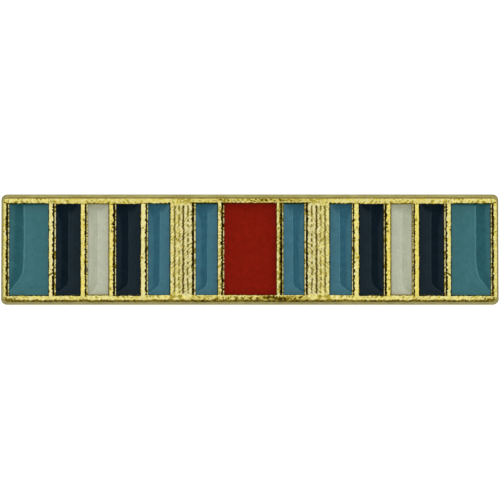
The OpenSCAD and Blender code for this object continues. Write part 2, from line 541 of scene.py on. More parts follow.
def roundCorners(x, y, edgeX, edgeY, r, fade):
    # draws the square corners of the mesh in to a radius; the pull fades out past the edge
    cx, cy = edgeX - r, edgeY - r
    dx, dy = np.abs(x) - cx, np.abs(y) - cy
    inCorner = (dx > 0) & (dy > 0)
    tiny = 1e-9
    reach = np.maximum(np.maximum(dx, dy), tiny)
    pull = 1 + (reach / np.maximum(np.hypot(dx, dy), tiny) - 1) * smooth(r + fade, r, reach)
    newX = np.where(inCorner, np.sign(x) * (cx + dx * pull), x)
    newY = np.where(inCorner, np.sign(y) * (cy + dy * pull), y)
    return newX, newY


def inOrder(moved, start, axis):
    # mesh lines that have crossed go back into order, so that nothing folds over
    least = 0.15 * start
    rising = np.maximum.accumulate(moved - least, axis)
    falling = np.flip(np.minimum.accumulate(np.flip(moved - least, axis), axis), axis)
    return (rising + falling) / 2 + least


def alongCells(grid, values):
    # a value of each cell, which changes evenly over the metal between two cells
    sides = [corner[0] for node in enamelNodes for corner in enamelBoxes[node]]
    return np.interp(grid.columns["at"], sides, np.repeat([values[i] for i in fromEnd], 2))[None, :]


def plainForm():
    # the plain struck form as a grid of points, and what each of them belongs to
    grid = SimpleNamespace(columns=columnTrack(), rows=rowTrack())
    lines = {name: np.meshgrid(grid.columns[name], grid.rows[name]) for name in grid.columns}
    grid.x, grid.y = lines["at"]
    inner, outer = np.maximum(*lines["inner"]), np.minimum(*lines["outer"])
    byEnd = lines["outer"][0] <= lines["outer"][1]
    grid.z = np.minimum(inner, outer)
    grid.isInner = inner <= outer
    byColumn = np.where(grid.isInner, lines["inner"][0] >= lines["inner"][1], byEnd)
    # the walls get the painted shade of the tracks, and the face gets none
    grid.dark = np.where(grid.z >= face - 1e-6, 0.0, np.where(byColumn, *lines["dark"]))
    grid.flange = np.where(grid.isInner, 0.0, np.where(byEnd, *lines["flange"]))
    grid.ledge = lines["ledge"][0]
    grid.markX = np.where(grid.x > bar["seamX"], -grid.x, grid.x)
    grid.top = band("top", grid.z - face) * (1 - grid.flange)
    grid.wall = band("wallFoot", grid.z - bar["ledgeZ"]) * band("wallTop", grid.z - face)
    grid.nearSide = band("cellSides", np.abs(grid.y))
    return grid


def movedEdges(grid):
    # the edges of the metal wander, so that each wall is nibbled
    x, y, markX = grid.x, grid.y, grid.markX
    weight = np.clip(grid.top + bar["wallShare"] * grid.wall, 0, 1) * grid.isInner
    wallX = grid.columns["at"][grid.columns["dark"] > 0.9]
    toWall = np.abs(grid.columns["at"][:, None] - wallX[None, :]).min(1)
    jags = field("jags", markX, y) * band("shadedWall", toWall)[None, :]
    shift = (bar["sway"] * field("sway", markX, y) + bar["rag"] * jags) * weight * grid.nearSide
    x2 = np.where(x > bar["seamX"], x - shift, x + shift)
    y2 = y + bar["rise"] * field("rise", markX, y) * weight * (1 - grid.nearSide)
    lower = band("lowerRim", y) * (np.abs(x) < bar["ragEnd"])
    y2 = y2 + bar["lowerRag"] * lower * field("lowerRag", markX, y)
    # the cells differ a little in height
    for side, values in ((1, bar["topRises"]), (-1, bar["footDrops"])):
        atEdge = band("cellEdges", side * y) * (side * y > bar["cellEnd"])
        y2 = y2 + side * alongCells(grid, values) * atEdge * weight
    y2 = np.clip(y2, barLow[1], barHigh[1])
    x2, y2 = inOrder(x2, x, 1), inOrder(y2, y, 0)
    x2, y2 = roundCorners(x2, y2, bar["endRim"], bar["sideRim"], *bar["rimRound"])
    return roundCorners(x2, y2, *barHigh[:2], *bar["cornerRound"])


def darken(grid, *amounts):
    for amount in amounts:
        grid.dark = np.maximum(grid.dark, amount)


def speckled(name, specks):
    allOver, inSpecks = shades[name]
    return allOver + inSpecks * specks


def hammeredTops(grid):
    # paints shade into the pits and cuts of the tops, along the lower rim's outer edge and under the upper
    # rim, darkens the rims near the middle, and returns the height of the hammered dents, strokes and pits
    x, y, markX = grid.x, grid.y, grid.markX
    far, high = np.abs(x), np.abs(y)
    broad = stroke("broad", markX, y)
    innerHalf = np.clip(band("innerHalf", high) * (band("longRims", high) + band("endRims", far)), 0, 1)
    lumps = field("lumps", markX, y) + bar["fineShare"] * stroke("fine", markX, y)
    pits = mask("pits", markX, y) * mask("pittedPlaces", markX, y)
    relief = bar["hammer"] * (lumps - bar["hammerLevel"]) - bar["pitDepth"] * pits
    relief += bar["strokeDepth"] * np.minimum(broad, 0) * innerHalf

    cuts = smooth(0.25, 0.65, -broad) * innerHalf
    specks = smooth(0.05, 0.4, stroke("specks", markX, y) + field("redSpecks", x, y))
    dashes = smooth(-0.1, 0.4, stroke("dashes", markX, y))
    upper, onMarks = y > bar["upperRim"], far < bar["marksEnd"]
    darkRims = band("darkRims", high)
    nearRed = band("overRed", far) + shades["overBlue"] * band("overBlue", far)
    # painted shade in the pits and cuts, along the lower rim's outer edge and in dashes under the upper rim;
    # the upper rim's middle and the rims near the red cell are plainly darker, in specks
    darken(grid,
           shades["pits"] * pits * grid.top,
           shades["cuts"] * cuts * band("clearOfRed", far) * grid.top * onMarks,
           shades["upperMiddle"] * grid.top * upper * band("upperMiddle", far),
           speckled("lowerEdge", mask("chips", markX, y)) * band("lowerEdge", y) * onMarks,
           speckled("overRed", specks) * darkRims * nearRed,
           speckled("rightOfRed", specks) * darkRims * band("rightOfRed", x),
           shades["lip"] * band("upperLip", y) * upper * grid.isInner * dashes)
    return relief


# The reeded stripes: narrow grooves with rope-like dashes across them
reed = {
    "offset": -0.03,  # from the middle between its two blue cells
    "halfWidth": 0.42,
    # grooves: offset from the stripe's middle towards the middle of the bar, depth, darkness of their
    # painted shade
    "grooves": ((-0.239, 0.032, 0.74), (-0.085, 0.022, 0.6), (0.06, 0.045, 1.0), (0.222, 0.03, 0.78)),
    "grooveWidth": 0.023,
    "wander": 0.011,
    "breaks": (0.35, 0.85),  # how broken the first and third groove are, and the others
    "ropePitch": 0.125,
    "ropeSlant": 0.9,
    "ropeDepth": 0.006,
    "ropeShade": 0.58,
    "dentDepth": 0.005,
    "specks": (0.12, 0.23),  # darkness of the specks, and what the stripe's ends add
    "pale": (0.25, 0.45),  # paleness of the stripe's tops, and what the side towards the middle adds
}


def reedRelief(grid):
    # height change, painted shade in the grooves and rope dashes, dark specks and paleness of the two reeded
    # stripes
    markX, y, high = grid.markX, grid.y, np.abs(grid.y)
    stripeX = (localBox("blue_inner_left")[0][0] + localBox("blue_outer_left")[1][0]) / 2 + reed["offset"]
    u = markX - stripeX
    near = (np.abs(u) < reed["halfWidth"]).astype(float)
    fade = near * band("grooveLength", high)
    drop, dark = np.zeros_like(u), np.zeros_like(u)
    # each groove is cut in and painted with shade along its middle
    for k, (offset, depth, shade) in enumerate(reed["grooves"]):
        wander = reed["wander"] * (grain(y, 0 * y, 0.16, 31 + k) + grain(y, 0 * y, 0.05, 41 + k))
        whole = 1 - reed["breaks"][k % 2] * smooth(0.2, -0.4, grain(y, 0 * y + k, 0.1, 51 + k))
        cut = np.exp(-((u - offset - wander) / reed["grooveWidth"]) ** 2) * fade
        drop -= depth * cut * (0.55 + 0.45 * whole)
        dark = np.maximum(dark, shade * whole * smooth(0.35, 0.9, cut))
    # rope-like dashes, dented and painted with shade
    rope = np.sin(2 * pi * (y - reed["ropeSlant"] * u) / reed["ropePitch"] + field("rope", markX, y))
    drop -= reed["ropeDepth"] * fade * smooth(-0.2, 1, rope)
    dark = np.maximum(dark, reed["ropeShade"] * fade * smooth(0.5, 1, rope) * mask("ropeGaps", markX, y))
    drop -= reed["dentDepth"] * near * mask("reedDents", markX, y)
    ends = band("reedEnds", high)
    specks = smooth(0.2 - 0.4 * ends, 0.6 - 0.3 * ends, field("reedSpecks", markX, y))
    dark = np.maximum(dark, (reed["specks"][0] + reed["specks"][1] * ends) * near * specks)
    pale = reed["pale"][0] + reed["pale"][1] * band("reedInner", u)
    pale = pale * band("reedWidth", np.abs(u)) * band("reedLength", high)
    return drop, dark, pale * smooth(0.3, 0.1, dark)


# Nicks, pits and stains at the places where the real bar has them: middle, reach, depth and darkness. The
# darkness of the nick and the pits is painted shade, that of the stains their own colour.
marks = {
    "nick": {"at": (-6.95, -0.86), "reach": (0.09, 0.016), "slope": 0.7, "depth": 0.04, "shade": 1.0},
    "wallPits": {"at": (-4.8, 0.81), "reach": (0.05, 0.4), "depth": 0.03, "shade": 0.7},
    "corner": {"at": (-8.33, -1.72), "reach": (0.27, 0.05)},
    "smudge": {"at": (0.95, -1.725), "reach": (0.55, 0.05), "stepX": 0.9, "step": 0.05},
    "stains": {"depth": 0.02, "shade": 0.95},
    # strokes across the red cell's ribs, and painted shade on the right half of its right rib, next to the
    # dark wall
    "ribStrokes": {"ribX": 1.07, "length": 2.2, "size": 0.055, "seed": 73, "ribSideShade": 1.4,
                   "depth": 0.01, "shade": 0.32},
}


def patch(x, y, mark, power=4):
    # a soft-edged patch round the place of a mark
    (midX, midY), (reachX, reachY) = mark["at"], mark["reach"]
    return np.exp(-(((x - midX) / reachX) ** power + ((y - midY) / reachY) ** 4))


def struckMarks(grid):
    # height change and darkness of the marks: painted shade in the nick, the pits and on the red cell's
    # right rib, and the stains' own colour
    x, y, markX = grid.x, grid.y, grid.markX
    nick, smudge, rib = marks["nick"], marks["smudge"], marks["ribStrokes"]
    fromNick = markX - nick["at"][0]
    across = np.abs(y - nick["at"][1] - nick["slope"] * fromNick) / nick["reach"][1]
    stepped = y - smudge["step"] * (x < smudge["stepX"])
    onRib = band("redRib", np.abs(np.abs(x) - rib["ribX"])) * band("redRibLength", np.abs(y))
    slanting = grain((markX + y) / rib["length"], markX - y, rib["size"], rib["seed"])
    # painted shade on the right half of the red cell's right rib
    ribSideShaded = band("ribSideShade", x) * band("ribSideShadeLength", np.abs(y))
    amounts = {
        "nick": np.exp(-across ** 2) * (np.abs(fromNick) < nick["reach"][0]),
        "wallPits": patch(markX, y, marks["wallPits"], 2) * mask("wallPits", markX, y),
        "stains": np.maximum(patch(markX, y, marks["corner"]) * mask("corner", markX, y),
                             patch(x, stepped, smudge) * mask("smudge", markX, y)),
        "ribStrokes": np.maximum(onRib * smooth(0.05, 0.5, slanting),
                                 rib["ribSideShade"] * ribSideShaded * mask("ribSideShade", x, y)),
    }
    drop, dark = np.zeros_like(x), np.zeros_like(x)
    for name, amount in amounts.items():
        drop -= marks[name]["depth"] * amount
        dark = np.maximum(dark, marks[name]["shade"] * amount)
    return drop, dark


def breakWallShade(grid):
    # the painted shade on the walls is broken in blots, and small nubs stand out of the walls where it is
    # broken; the nubs get painted glints
    x, y, markX = grid.x, grid.y, grid.markX
    blots = smooth(-0.55, -0.35, field("blots", markX, y) - alongCells(grid, bar["shadeBreaks"]))
    blots = blots * grid.nearSide + mask("teeth", markX, y) * (1 - grid.nearSide)
    unshaded = grid.wall * (1 - blots)
    grid.dark = grid.dark * (1 - shades["walls"] * unshaded)
    nubs = unshaded * grid.nearSide
    grid.z = grid.z + nubs * np.clip(face - bar["nubDrop"] - grid.z, 0, bar["nubHeight"])
    ledge = grid.ledge * band("ledgeHeight", np.abs(grid.z - bar["ledgeZ"]))
    grid.ledge = np.maximum(ledge, shades["nubs"] * nubs)


def speckLedges(grid):
    # dark specks on the ledges, more at the ends and left of the red cell, and a darker tone on the ledges
    # beside the white cells
    x, markX = grid.x, grid.markX
    far = np.abs(x)
    shade = shades["ledges"] + shades["endLedges"] * (far > bar["endLedges"])
    shade = shade + shades["redLedge"] * band("redWall", far) * (x < 0)
    white = shades["whiteLedge"] * band("besideWhite", np.abs(far - bar["whiteX"]))
    darken(grid, shade * mask("ledgeSpecks", markX, grid.y) * grid.ledge, white * grid.ledge)


def ribTints(grid):
    tint = np.zeros_like(grid.x)
    for share, left, right in zip(bar["tints"], enamelNodes, enamelNodes[1:]):
        ribX = (enamelBoxes[left][1][0] + enamelBoxes[right][0][0]) / 2
        tint += share * band("rib", np.abs(grid.x - ribX)) * band("ribLength", np.abs(grid.y)) * grid.top
    return tint


def floorSpans(flags):
    # the mesh lines before and after each run of lines over a hidden floor
    step = np.diff((flags > 0).astype(int))
    return list(zip(np.flatnonzero(step > 0), np.flatnonzero(step < 0) + 1))


def gridMesh(grid, x, y):
    # the grid's points and faces; the hidden floors under the enamel are plain fans
    points = np.stack([x, y, grid.z], -1).reshape(-1, 3)
    number = np.arange(len(points)).reshape(grid.z.shape)
    shown = np.ones((number.shape[0] - 1, number.shape[1] - 1), bool)
    floors, middles = [], []
    (firstRow, lastRow), = floorSpans(grid.rows["floor"])
    for first, last in floorSpans(grid.columns["floor"]):
        shown[firstRow:lastRow, first:last] = False
        loop = outline(number[firstRow:lastRow + 1, first:last + 1])
        closeLoop(loop, len(points) + len(middles), floors)
        middles.append(points[loop].mean(0))
    faces = gridFaces(number)[shown].tolist() + floors
    return np.concatenate([points, middles]), faces, outline(number)


def addSidesAndBack(points, faces, rim):
    rimXY = points[rim][:, :2]
    innerCorner = barHigh[:2] - bar["cornerRound"][0]
    outward = rimXY - np.clip(rimXY, -innerCorner, innerCorner)
    outward /= np.linalg.norm(outward, axis=1, keepdims=True)
    r = bar["backRound"]
    levels = [(height, 0.0) for height in bar["sideLevels"]]
    levels += [(r * (1 - sin(radians(a))), r * (1 - cos(radians(a)))) for a in (0, 30, 60, 90)]
    # one more ring on the flat back, so that the rounded edge does not shade it
    levels.append((0.0, 2 * r))
    above = rim
    for height, inset in levels:
        below = np.arange(len(points), len(points) + len(rim))
        ring = np.column_stack([rimXY - outward * inset, np.full(len(rim), height)])
        joinLoops(above, below, faces)
        points = np.concatenate([points, ring])
        above = below
    closeLoop(above[::-1], len(points), faces)
    return np.concatenate([points, [points[above[::-1]].mean(0)]])


def buildBar(material):
    grid = plainForm()
    x, y = movedEdges(grid)
    hammered = hammeredTops(grid)
    reedDrop, reedDark, reedPale = reedRelief(grid)
    markDrop, markDark = struckMarks(grid)
    darken(grid, grid.top * reedDark)
    grid.z = grid.z + grid.top * (hammered + reedDrop + markDrop)
    breakWallShade(grid)
    darken(grid, markDark * (1 - grid.flange))
    speckLedges(grid)
    rippled = bar["flangeRipple"] * field("flange", grid.markX, grid.y)
    grid.z = grid.z + rippled * grid.flange * band("flangeTop", grid.z - bar["flangeZ"])
    grid.z = np.minimum(grid.z, face)

    points, faces, rim = gridMesh(grid, x, y)
    points = addSidesAndBack(points, faces, rim)
    # painted highlight along the lower flange's outer edge
    paleFoot = shades["flangeFoot"] * band("flangeFoot", grid.y) * grid.flange
    pale = np.maximum(grid.ledge, np.maximum(paleFoot, reedPale))
    # beside each layer, its value on the sides and the back, which are half as dull as the flange
    extra = len(points) - grid.z.size
    # hollow holds the painted shade and the stains, and ledge the painted highlights and glints and the
    # paler stripe tops
    layers = {"hollow": (grid.dark, 0), "flange": (grid.flange, 0.5), "ledge": (pale, 0),
              "tint": (ribTints(grid), 0)}
    paint = {name: np.append(values, np.full(extra, rest)) for name, (values, rest) in layers.items()}
    print("bar:", len(points), "points", grid.z.shape[0], "rows", grid.z.shape[1], "columns")
    return makePiece("gilt_bar_struck", points, faces, material, "gilt_bar", paint)


gilt = {
    "pale": linear(236, 232, 168),
    "deep": linear(242, 222, 92),
    "flange": linear(178, 172, 112),
    "flangeDeep": linear(160, 150, 90),
    # dull, shade and the darkest colour below are the steps of the painted shade on the walls, in the dents
    # and under the rims, which the stains use too
    "dull": linear(186, 170, 66),
    "shade": linear(120, 96, 10),
    # pale colour of the painted highlights on the ledges, the painted glints on the nubs and the painted
    # highlight on the flange's foot; the paler stripe tops and ribs use it too
    "ledge": linear(236, 230, 178),
    "olive": linear(206, 190, 70),
    "bright": linear(246, 242, 190),
    # darkest step of the painted shade, and the colour of the stains
    "stainAndShade": linear(26, 15, 0),
    # noise: lumps per millimetre, detail and roughness
    "mottle": (11.0, 4.0, 0.7),
    "sparkle": (19.0, 3.0, 0.7),
    "fine": (24.0, 3.0, 0.7),
    "streaks": (14.0, 3.0, 0.6),
    "streakStretch": (0.12, 1, 1),
    "roughness": (0.2, 0.36),
    "hollowRoughness": 0.25,
    "flangeRoughness": 0.12,
    "bumpDepth": 0.008,
}


def giltMaterial():
    material, tree, shader = newMaterial("struck_gilt")
    coords = millimetres(tree)
    mottle, sparkle, fine = (noiseAt(tree, coords, *gilt[name]) for name in ("mottle", "sparkle", "fine"))
    streaks = noiseAt(tree, millimetres(tree, gilt["streakStretch"]), *gilt["streaks"])
    hollow, flange, ledge, tint = (painted(tree, name) for name in ("hollow", "flange", "ledge", "tint"))
    metal = mixColours(tree, remap(tree, mottle, 0.35, 0.65), gilt["deep"], gilt["pale"])
    for value, low, high, tone in ((sparkle, 0.5, 0.33, "olive"), (sparkle, 0.52, 0.68, "bright"),
                                   (tint, 0, 1, "deep"), (tint, 0, -1, "ledge")):
        metal = mixColours(tree, remap(tree, value, low, high), metal, gilt[tone])
    dull = mixColours(tree, remap(tree, streaks, 0.35, 0.65), gilt["flangeDeep"], gilt["flange"])
    colour = mixColours(tree, flange, metal, dull)
    # the ledge layer: painted highlights on the ledges, painted glints on the nubs, a painted highlight on
    # the flange foot, and the paler stripe tops
    colour = mixColours(tree, ledge, colour, gilt["ledge"])
    # the hollow layer: painted shade on the walls, in the dents and under the rims, and the stains, in three
    # steps
    for low, high, tone in ((0.0, 0.35, "dull"), (0.3, 0.65, "shade"), (0.6, 0.95, "stainAndShade")):
        colour = mixColours(tree, remap(tree, hollow, low, high), colour, gilt[tone])
    rough = remap(tree, fine, 0.3, 0.7, *gilt["roughness"])
    # the painted shade and the stains roughen the metal, and where darkest it is no longer metallic
    rough = maths(tree, "ADD", rough, remap(tree, hollow, 0, 1, 0, gilt["hollowRoughness"]))
    rough = maths(tree, "ADD", rough, remap(tree, flange, 0, 1, 0, gilt["flangeRoughness"]))
    setInputs(tree, shader, {"Base Color": colour, "Metallic": remap(tree, hollow, 0.5, 0.85, 1.0, 0.0),
                             "Specular IOR Level": 0.05, "Specular Tint": (0.8, 0.62, 0.3, 1),
                             "Roughness": rough, "Normal": bumped(tree, fine, 1.0, gilt["bumpDepth"])})
    return material


# Every fill has these values, in millimetres; a colour changes some of them
fill = {
    "columns": 44,
    "rows": 120,
    "gather": 0.15,  # how much the mesh lines gather at the top and the foot
    "dip": 0.05,  # dip of the middle, as a share of the width
    "topEnd": 0.3,  # length over which the dish runs out at the top and at the foot
    "bottomEnd": 0.25,
    "topExtra": 0.0,  # how far it reaches past its cell's edge at the top and at the foot
    "footExtra": 0.0,
    "footRise": (0.0, 1.0),  # how much it rises to its foot, and over what length
    "creep": 0.018,  # rise of the enamel where it meets the metal
    "creepWidth": 0.03,
    "creepEdge": 0.004,
    "rim": (0.55, 0.55, 0.55),  # painted shade beside the metal: how its colour changes there, from where, and how far in
    "rimStart": 0.4,
    "rimWidth": 0.03,
    "rimAllRound": False,  # at the top and the foot too
    "cloud": (4.0, 4.0, 0.6),
    "specks": (12.0, 3.0, 0.6),
    "speck": 0.11,
    "waves": (2.5, 2.0, 0.5),
    "waveDepth": 0.005,
    "roughness": 0.045,
    # small tilt of each fill away from the middle of the bar, in degrees
    "tilts": {"teal_end": -0.7, "navy_outer": 1.6, "white": 0.35, "navy_inner": 0.5, "blue_outer": 0.4,
              "blue_inner": -0.45},
}
enamel = {
    "red": {"colour": (123, 23, 12), "gloss": 0.4, "tint": (1, 1, 1), "mottle": 0.05, "rim": (0.9, 0.9, 0.9),
            "dip": 0.012, "topExtra": 0.01},
    "blue": {"colour": (46, 90, 106), "gloss": 0.68, "tint": (0.5, 1, 1.05), "mottle": 0.06,
             "footRise": (0.016, 0.09)},
    "navy": {"colour": (14, 25, 33), "gloss": 0.15, "tint": (0.7, 1, 1.1), "mottle": 0.1,
             "rim": (0.1, 0.1, 0.1), "footRise": (0.012, 0.08)},
    "white": {"colour": (173, 177, 153), "gloss": 0.75, "tint": (1, 1, 1), "mottle": 0.03,
              "rim": (0.76, 0.6, 0.4), "rimStart": 0.0, "rimWidth": 0.045, "rimAllRound": True,
              "speck": 0.06},
    "teal": {"colour": (41, 86, 92), "gloss": 0.75, "tint": (0.45, 1, 1), "mottle": 0.06,
             "topEnd": 0.008, "bottomEnd": 0.35, "footExtra": 0.008, "footRise": (0.045, 1.5)},
}
enamel = {name: {**fill, **facts} for name, facts in enamel.items()}


def enamelMaterial(name):
    facts = enamel[name]
    material, tree, shader = newMaterial("enamel_" + name)
    coords = millimetres(tree)
    base = np.array(linear(*facts["colour"])[:3])
    change = 2 * facts["mottle"]
    low, high = (*(base * (1 - change)), 1), (*(base * (1 + change)), 1)
    colour = mixColours(tree, remap(tree, noiseAt(tree, coords, *facts["cloud"]), 0.3, 0.7), low, high)
    specks = noiseAt(tree, coords, *facts["specks"])
    specks = remap(tree, specks, 0.3, 0.7, 1 - facts["speck"], 1 + facts["speck"])
    grey = addNode(tree, "CombineColor", {0: specks, 1: specks, 2: specks}).outputs[0]
    colour = mixColours(tree, 1.0, colour, grey, "MULTIPLY")
    # painted shade on the fill beside the metal, a warm one for the white
    edge = remap(tree, painted(tree, "edge"), facts["rimStart"], 1.0, 0, 0.8)
    colour = mixColours(tree, edge, colour, (*(base * facts["rim"]), 1))
    waves = noiseAt(tree, coords, *facts["waves"])
    setInputs(tree, shader, {"Base Color": colour, "Roughness": facts["roughness"],
                             "Specular IOR Level": facts["gloss"], "Specular Tint": (*facts["tint"], 1),
                             "Normal": bumped(tree, waves, 0.3, facts["waveDepth"])})
    return material


def buildFill(node, material, kind):
    facts = enamel[kind]
    low, high = (corner.copy() for corner in enamelBoxes[node])
    low[1] -= facts["footExtra"]
    high[1] += facts["topExtra"]
    (width, height), (midX, midY) = (high - low)[:2], ((low + high) / 2)[:2]
    # mesh lines gather near the walls
    across = np.sin(np.linspace(-pi / 2, pi / 2, facts["columns"])) * width / 2
    upwards = np.linspace(-1, 1, facts["rows"])
    upwards = (1 - facts["gather"]) * upwards + facts["gather"] * np.sin(upwards * pi / 2)
    x, y = np.meshgrid(across, upwards * height / 2)
    fromSide, fromTop, fromFoot = width / 2 - np.abs(x), height / 2 - y, height / 2 + y
    runOut = (1 - np.exp(-fromTop / facts["topEnd"])) * (1 - np.exp(-fromFoot / facts["bottomEnd"]))
    z = high[2] - facts["dip"] * width * (1 - (2 * x / width) ** 2) * runOut
    tilt = facts["tilts"].get(node.rsplit("_", 1)[0], 0)
    z = z + np.sign(midX) * tan(radians(tilt)) * x
    footRise, length = facts["footRise"]
    z = z + footRise * np.exp(-fromFoot / length)
    fromMetal = np.minimum(fromSide, fromFoot)
    creep = smooth(facts["creepWidth"], 0, fromMetal) ** 2 * smooth(0, facts["creepEdge"], fromMetal)
    z = z + facts["creep"] * creep
    # where the fill gets its painted shade beside the metal
    fromWall = np.minimum(fromSide, height / 2 - np.abs(y)) if facts["rimAllRound"] else fromSide
    edge = smooth(facts["rimWidth"], 0, fromWall)

    points = np.stack([x + midX, y + midY, z], -1).reshape(-1, 3)
    number = np.arange(len(points)).reshape(z.shape)
    faces = gridFaces(number).reshape(-1, 4).tolist()
    rim = outline(number)
    below = np.arange(len(points), len(points) + len(rim))
    joinLoops(rim, below, faces)
    faces.append(below[::-1].tolist())
    ring = points[rim] * (1, 1, 0) + (0, 0, low[2])
    points = np.concatenate([points, ring])
    paint = {"edge": np.append(edge, np.ones(len(ring)))}
    return makePiece(node + "_enamel", points, faces, material, node, paint)


# The tack, turned about its own axis, in millimetres. Its profile is given as radius and distance behind
# the bar; the foot's rim and the solder are arcs about such a place, with a radius.
tack = {
    "segments": 96,
    "foot": ((1.28, 0.0), (1.3, 0.02), (1.3, 0.25)),
    "footRim": (1.2, 0.25, 0.1),
    "solderEdge": (0.72, 0.35),
    "solder": (0.725, 0.5, -0.15),
    "shankRadius": 0.575,
    "shank": (0.7, 5.9),
    "neck": ((0.575, 6.05), (0.565, 6.1), (0.5, 6.2), (0.46, 6.27), (0.455, 6.3), (0.46, 6.33),
             (0.49, 6.45), (0.508, 6.5), (0.512, 6.55), (0.5, 6.6)),
    "taper": 0.39,
    "point": ((0.11, 0.05), (0.08, 0.015)),  # radius and distance before the point
    "light": linear(232, 213, 136),
    "deep": linear(222, 201, 120),
    "lines": (16.0, 3.0, 0.6),
    "lineStretch": (1, 1, 0.1),
    "roughness": (0.22, 0.32),
    "lineDepth": 0.003,
}


def tackMaterial():
    material, tree, shader = newMaterial("drawn_brass")
    lines = noiseAt(tree, millimetres(tree, tack["lineStretch"]), *tack["lines"])
    colour = mixColours(tree, remap(tree, lines, 0.3, 0.7), tack["deep"], tack["light"])
    rough = remap(tree, lines, 0.3, 0.7, *tack["roughness"])
    setInputs(tree, shader, {"Base Color": colour, "Metallic": 1.0, "Roughness": rough,
                             "Normal": bumped(tree, lines, 0.15, tack["lineDepth"])})
    return material


def arc(radius, depth, r, angles):
    return [(radius + r * cos(radians(a)), depth + r * sin(radians(a))) for a in angles]


def tackProfile(length):
    # from the foot's rim to just before the point
    profile = [*tack["foot"], *arc(*tack["footRim"], (22, 45, 67, 90)), tack["solderEdge"]]
    profile += arc(*tack["solder"], range(75, -1, -15))
    profile += [(tack["shankRadius"], depth) for depth in np.linspace(*tack["shank"], 14)]
    profile += tack["neck"]
    barb, start = tack["neck"][-1]
    profile += [(barb - tack["taper"] * t, start + (length - start) * t) for t in np.linspace(0.1, 0.95, 12)]
    return profile + [(radius, length - before) for radius, before in tack["point"]]


def buildTack(material):
    length = -localBox("tack_post")[0][2]
    profile = tackProfile(length)
    n = tack["segments"]
    turn = np.linspace(0, 2 * pi, n, endpoint=False)
    points = [(0, 0, 0)]
    points += [(radius * cos(a), radius * sin(a), -depth) for radius, depth in profile for a in turn]
    points.append((0, 0, -length))
    first = 1 + np.arange(n)
    faces = []
    closeLoop(first, 0, faces)
    for ring in range(len(profile) - 1):
        joinLoops(first + ring * n, first + (ring + 1) * n, faces)
    closeLoop((first + (len(profile) - 1) * n)[::-1], len(points) - 1, faces)
    points = np.array(points)
    return makePiece("tack_post_turned", points, faces, material, "tack_post", sharpAngle=40)


barPiece = buildBar(giltMaterial())
enamels = {kind: enamelMaterial(kind) for kind in enamel}
fills = []
for node in enamelNodes:
    kind = node.split("_")[0]
    fills.append(buildFill(node, enamels[kind], kind))
print("enamel fills:", len(fills))
tackPiece = buildTack(tackMaterial())
print("tack made")


# Camera: square to the face and a little below it
camera = {
    "distance": 55.0,
    "pixelAtFlange": 0.035175,  # size of a pixel on the flange
    "frame": 500,
    "sensor": 36,
    "below": 1.1,  # in degrees
    "steady": 0.39,  # height over the flange of the place that this angle leaves in the middle
    "shift": (0.0045, -0.009),
}


def aim(piece, direction):
    piece.rotation_mode = "QUATERNION"
    piece.rotation_quaternion = direction.to_track_quat("-Z", "Y")


def addCamera():
    data = bpy.data.cameras.new("camera")
    data.sensor_width = camera["sensor"]
    data.lens = camera["sensor"] / camera["frame"] * camera["distance"] / camera["pixelAtFlange"]
    data.clip_start, data.clip_end = 0.001, 20
    holder = newObject("camera", data)
    tilt = radians(camera["below"])
    right, up = camera["shift"]
    centre = Vector(toWorld([[0, 0, bar["flangeZ"]]])[0])
    centre += upFace * mm * (up - camera["steady"] * tan(tilt)) + alongBar * mm * right
    away = outOfFace * cos(tilt) - upFace * sin(tilt)
    holder.location = centre + away * camera["distance"] * mm
    aim(holder, -away)
    scene.camera = holder


# Studio: a reflection card for the fills of each half, a dome for the metal, a key light and the table.
# Its sizes are in metres and its angles in degrees; a ramp goes from 0 to 1 in steps of place and level.
studio = {
    "cardDistance": 1.5,
    "cardStep": 0.01,  # the left card lies this far beyond that, and the right one this far before it
    "cardReach": 65.0,
    "cardGlow": 15 / 7,
    "cardLow": (-5.0, -1.5),  # from here to there it brightens up to its own level
    "cardLowLevel": 0.15,
    # dark arch round the camera, as the left cells see it
    "darkCentre": 16.5,
    "darkRadius": 20.7,
    "archSquash": 2,  # how much lower than wide it is
    "slant": 0.12,
    "slantReach": 4,
    # from the arch's centre to twice its radius: dark, a bright line along its edge, and the sheet
    "arch": ((0.0, 0.0), (0.497, 0.0), (0.503, 1.0), (0.518, 1.0), (0.53, 0.46), (0.57, 0.43), (0.66, 0.5),
             (0.72, 0.44), (0.85, 0.4), (1.0, 0.4)),
    # tall dim light inside the arch: up to a height it leans, and it is stretched upwards
    "lightLean": 0.9,
    "lightLeanReach": 3.0,
    "lightSquash": 0.15,
    "light": ((0.0, 0.33), (0.13, 0.28), (0.21, 0.0), (1.0, 0.0)),
    "domeRadius": 0.5,
    "domeParts": (48, 24),
    "domeLift": 0.06,  # how far up its bright middle lies
    "domeReach": (-1, 1.02),
    # from behind the pin to in front of it
    "dome": ((0.0, 1.0), (0.12, 0.85), (0.35, 0.5), (0.6, 0.36), (0.8, 0.4), (0.93, 0.78), (1.0, 1.0)),
    "domeGlow": 1.14,
}


def glowMaterial(name):
    # clear as well as bright, so that a light does not hide the one behind it
    material, tree, shader = newMaterial(name, "AddShader")
    light = addNode(tree, "Emission", {"Color": (1, 1, 1, 1)})
    clear = addNode(tree, "BsdfTransparent")
    setInputs(tree, shader, {0: light.outputs[0], 1: clear.outputs[0]})
    return material, tree, light.inputs["Strength"]


def ramp(tree, value, stops):
    made = addNode(tree, "ValToRGB", {"Fac": value})
    points = made.color_ramp.elements
    for place, level in stops[1:-1]:
        points.new(place)
    for point, (place, level) in zip(points, stops):
        point.color = (level, level, level, 1)
    return made.outputs["Color"]


def archRamp(tree, across, upwards, stops):
    # levels from the arch's centre to twice its radius
    where = addNode(tree, "CombineXYZ", {"X": across, "Y": upwards}).outputs[0]
    away = addNode(tree, "VectorMath", {0: where}, operation="LENGTH").outputs["Value"]
    return ramp(tree, remap(tree, away, 0, 2 * studio["darkRadius"]), stops)


